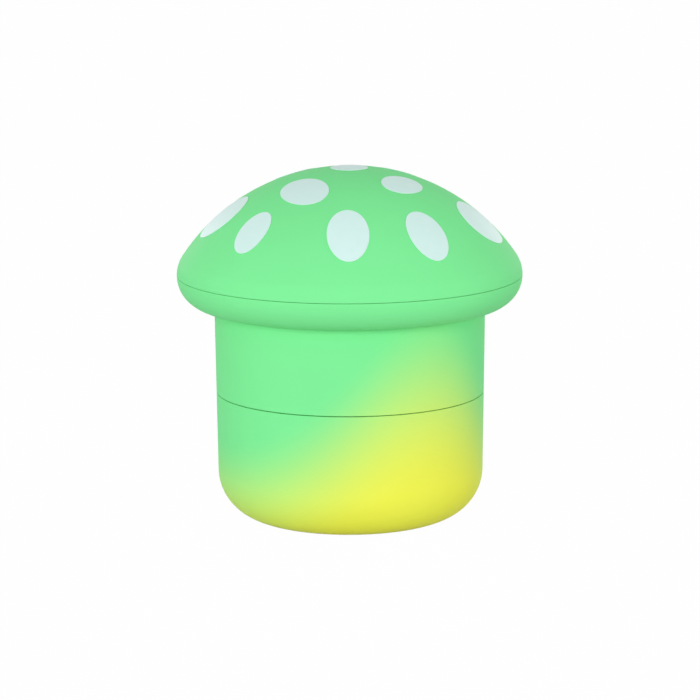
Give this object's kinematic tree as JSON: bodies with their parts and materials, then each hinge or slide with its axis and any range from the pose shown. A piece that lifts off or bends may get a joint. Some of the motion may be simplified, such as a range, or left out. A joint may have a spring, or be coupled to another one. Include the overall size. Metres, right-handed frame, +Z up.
{
  "type": "herb grinder",
  "caption": "Hand-turned herb grinder shaped like a spotted mushroom: a domed toothed cap turns over a toothed tray, a drop-in sieve and a screw-on cup.",
  "frame": {"origin": "centre of the cup's flat foot, on the surface that the grinder stands on", "axes": "+Z up the turning axis to the crown of the cap, -Y towards the front of the picture, +X to its right"},
  "size_m": [0.064, 0.064, 0.0657],
  "materials": {
    "green_paint": "soft matte",
    "yellow_paint": "soft matte",
    "white_ink": "printed film",
    "tooth_metal": "machined",
    "sieve_metal": "turned satin",
    "screen_steel": "fine weave",
    "screw_steel": "bright",
    "magnet_nickel": "nickel plated",
    "nylon": "smooth",
    "washer_rubber": "matte"
  },
  "bodies": {
    "cup": {"cup_shell": "yellow_paint"},
    "sieve": {"sieve_ring": "sieve_metal", "sieve_screen": "screen_steel", "sieve_snap_ring": "screw_steel"},
    "stem_washer": {"stem_washer": "washer_rubber"},
    "chamber": {"chamber_shell": "green_paint", "tray_disc": "tooth_metal", "tray_magnet": "magnet_nickel"},
    "glide_ring": {"glide_ring": "nylon"},
    "cap": {"cap_shell": "green_paint", "cap_tooth_disc": "tooth_metal", "cap_disc_screws": "screw_steel", "cap_magnet": "magnet_nickel", "cap_spots": "white_ink"}
  },
  "joints": [
    {"name": "sieve_lift", "type": "slide", "parent": "cup", "child": "sieve", "axis": [0, 0, 1], "range_m": [0, 0.028]},
    {"name": "chamber_rise", "type": "slide", "parent": "sieve", "child": "stem_washer", "axis": [0, 0, 1], "range_m": [0, 0.0053]},
    {"name": "chamber_turn", "type": "hinge", "parent": "stem_washer", "child": "chamber", "pos_m": [0, 0, 0.0239], "axis": [0, 0, 1], "range_deg": [0, 630]},
    {"name": "cap_lift", "type": "slide", "parent": "chamber", "child": "glide_ring", "axis": [0, 0, 1], "range_m": [0, 0.03]},
    {"name": "cap_turn", "type": "hinge", "parent": "glide_ring", "child": "cap", "pos_m": [0, 0, 0.04578], "axis": [0, 0, 1], "continuous": true}
  ],
  "couplings": [
    {"joint": "chamber_rise", "follows": "chamber_turn", "m_per_rad": 0.00047746}
  ]
}
